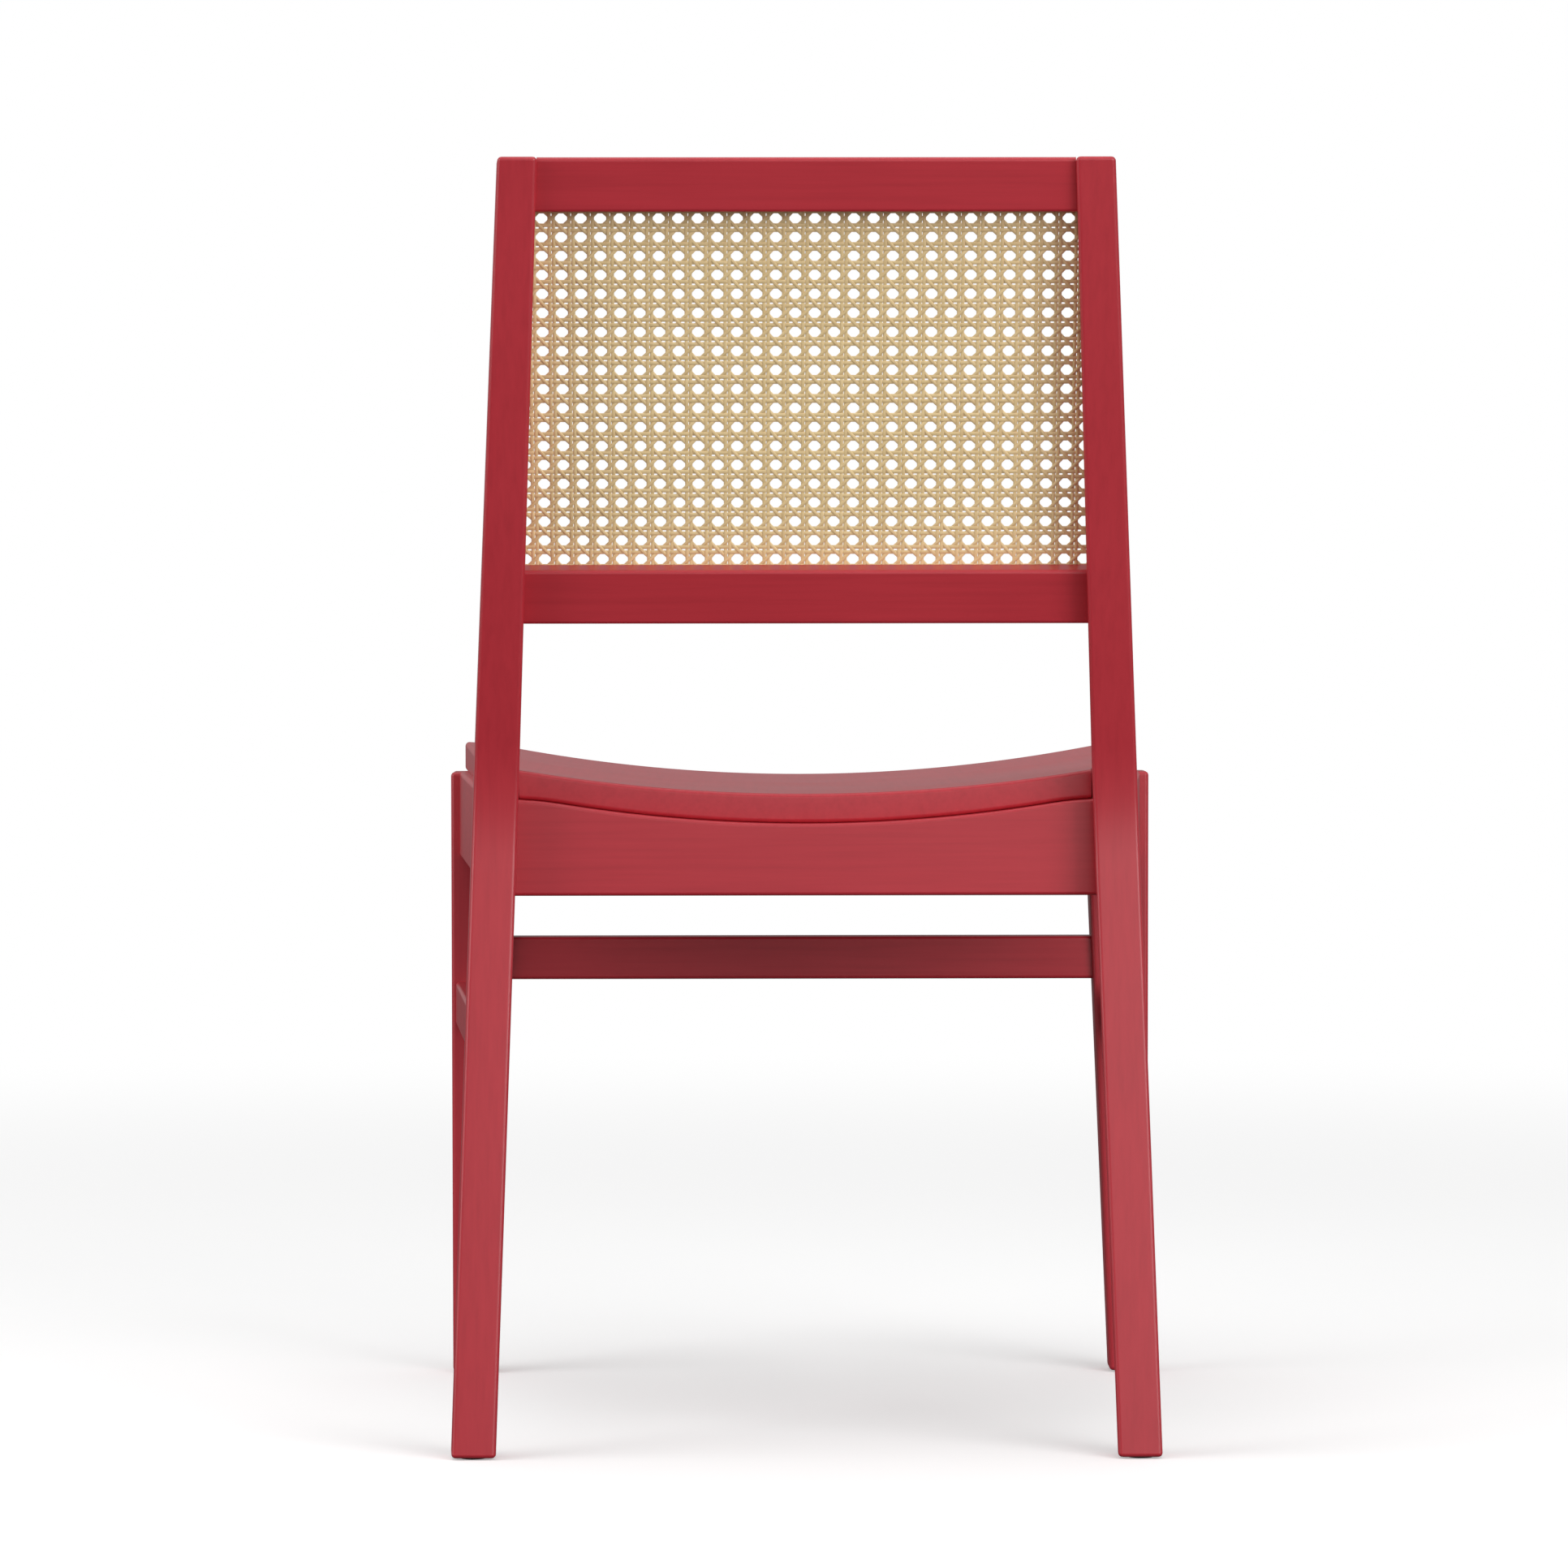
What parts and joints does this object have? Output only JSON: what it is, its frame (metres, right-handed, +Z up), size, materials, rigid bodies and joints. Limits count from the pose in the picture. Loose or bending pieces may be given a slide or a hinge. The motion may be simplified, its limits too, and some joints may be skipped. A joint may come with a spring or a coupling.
{
  "type": "side chair",
  "caption": "Wooden side chair with raked rear posts, a woven cane back panel, a dished wooden seat and stretchers between the legs.",
  "frame": {"origin": "on the floor, at the centre of the chair's footprint box", "axes": "+Z up; the sitter faces -Y; +X is the sitter's left. The left and right halves mirror each other across the plane X = 0."},
  "size_m": [0.506, 0.5294, 0.85],
  "materials": {
    "red_lacquer": "satin red lacquer over fine-grained hardwood",
    "woven_cane": "natural golden cane, six-way weave, semi-gloss",
    "reed_spline": "natural reed",
    "bare_beech": "bare beech, matt",
    "zinc_screw": "zinc plated",
    "nylon_glide": "dark nylon, matt"
  },
  "bodies": {
    "root": {"rear_leg_left": "red_lacquer", "rear_leg_right": "red_lacquer", "front_leg_left": "red_lacquer", "front_leg_right": "red_lacquer", "crest_rail": "red_lacquer", "lower_back_rail": "red_lacquer", "rear_apron": "red_lacquer", "front_apron": "red_lacquer", "side_apron_left": "red_lacquer", "side_apron_right": "red_lacquer", "front_stretcher": "red_lacquer", "side_stretcher_left": "red_lacquer", "side_stretcher_right": "red_lacquer", "seat_panel": "red_lacquer", "cane_panel": "woven_cane", "spline_bottom": "reed_spline", "spline_left": "reed_spline", "spline_top": "reed_spline", "spline_right": "reed_spline", "corner_block_front_left": "bare_beech", "corner_block_front_right": "bare_beech", "corner_block_rear_left": "bare_beech", "corner_block_rear_right": "bare_beech", "crest_rail_dowels": "bare_beech", "lower_rail_dowels": "bare_beech", "rear_apron_dowels": "bare_beech", "front_apron_dowels": "bare_beech", "side_apron_dowels": "bare_beech", "front_stretcher_dowels": "bare_beech", "side_stretcher_dowels": "bare_beech", "corner_block_screws": "zinc_screw", "seat_screws": "zinc_screw", "glide_front_left": "nylon_glide", "glide_front_right": "nylon_glide", "glide_rear_left": "nylon_glide", "glide_rear_right": "nylon_glide"}
  },
  "joints": []
}
